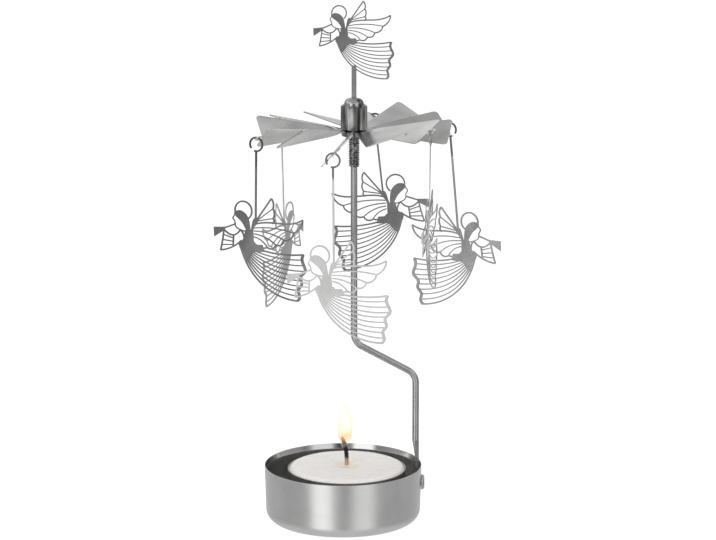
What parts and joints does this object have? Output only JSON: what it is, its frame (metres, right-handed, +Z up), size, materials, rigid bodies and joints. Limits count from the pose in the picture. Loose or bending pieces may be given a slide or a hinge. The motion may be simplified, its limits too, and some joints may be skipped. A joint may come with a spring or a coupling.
{
  "type": "tealight carousel",
  "caption": "Tabletop tealight carousel: a steel cup holds a tealight under a pitched-blade fan that turns on a bent wire, with flat cut-out angels hung from the blades and one on top.",
  "frame": {"origin": "centre of the flat underside of the base cup", "axes": "+Z up along the height; the wire is fixed to the cup's wall on the +X side; -Y faces the viewer of the picture"},
  "size_m": [0.0872, 0.0715, 0.1608],
  "materials": {
    "satin_steel": "satin drawn sheet steel",
    "wire_steel": "bright drawn steel wire",
    "bright_nickel": "bright nickel plate on thin sheet",
    "foil": "bright pressed foil",
    "wax": "off-white candle wax",
    "wick_fibre": "braided cotton, charred"
  },
  "bodies": {
    "stand": {"base_cup": "satin_steel", "stand_wire": "wire_steel", "stand_rivet": "wire_steel"},
    "tealight": {"tealight_cup": "foil", "tealight_wax": "wax", "wick_sustainer": "foil", "wick": "wick_fibre"},
    "rotor": {"threaded_sleeve": "wire_steel", "clamp_ring": "bright_nickel", "cap_nut": "bright_nickel", "fan_wheel": "bright_nickel", "top_angel": "bright_nickel"},
    "pendant_1": {"angel_pendant_1": "bright_nickel"},
    "pendant_2": {"angel_pendant_2": "bright_nickel"},
    "pendant_3": {"angel_pendant_3": "bright_nickel"},
    "pendant_4": {"angel_pendant_4": "bright_nickel"},
    "pendant_5": {"angel_pendant_5": "bright_nickel"},
    "pendant_6": {"angel_pendant_6": "bright_nickel"}
  },
  "joints": [
    {"name": "tealight_lift", "type": "slide", "parent": "stand", "child": "tealight", "axis": [0, 0, 1], "range_m": [0, 0.022]},
    {"name": "rotor_spin", "type": "hinge", "parent": "stand", "child": "rotor", "pos_m": [0.0034, 0, 0.1214], "axis": [0, 0, 1], "continuous": true},
    {"name": "pendant_1_swing", "type": "hinge", "parent": "rotor", "child": "pendant_1", "pos_m": [0.03259, 0.00963, 0.12024], "axis": [0.4848, 0.8746, 0], "range_deg": [-12, 12]},
    {"name": "pendant_2_swing", "type": "hinge", "parent": "rotor", "child": "pendant_2", "pos_m": [0.00983, 0.02945, 0.11975], "axis": [0, 1, 0], "range_deg": [-12, 12]},
    {"name": "pendant_3_swing", "type": "hinge", "parent": "rotor", "child": "pendant_3", "pos_m": [-0.01903, 0.02036, 0.11999], "axis": [-0.9205, 0.3907, 0], "range_deg": [-12, 12]},
    {"name": "pendant_4_swing", "type": "hinge", "parent": "rotor", "child": "pendant_4", "pos_m": [-0.02579, -0.00971, 0.119], "axis": [-0.4384, -0.8988, 0], "range_deg": [-12, 12]},
    {"name": "pendant_5_swing", "type": "hinge", "parent": "rotor", "child": "pendant_5", "pos_m": [-0.00275, -0.02914, 0.11768], "axis": [-0.2079, -0.9781, 0], "range_deg": [-12, 12]},
    {"name": "pendant_6_swing", "type": "hinge", "parent": "rotor", "child": "pendant_6", "pos_m": [0.026, -0.02035, 0.12268], "axis": [0.9848, -0.1736, 0], "range_deg": [-12, 12]}
  ]
}
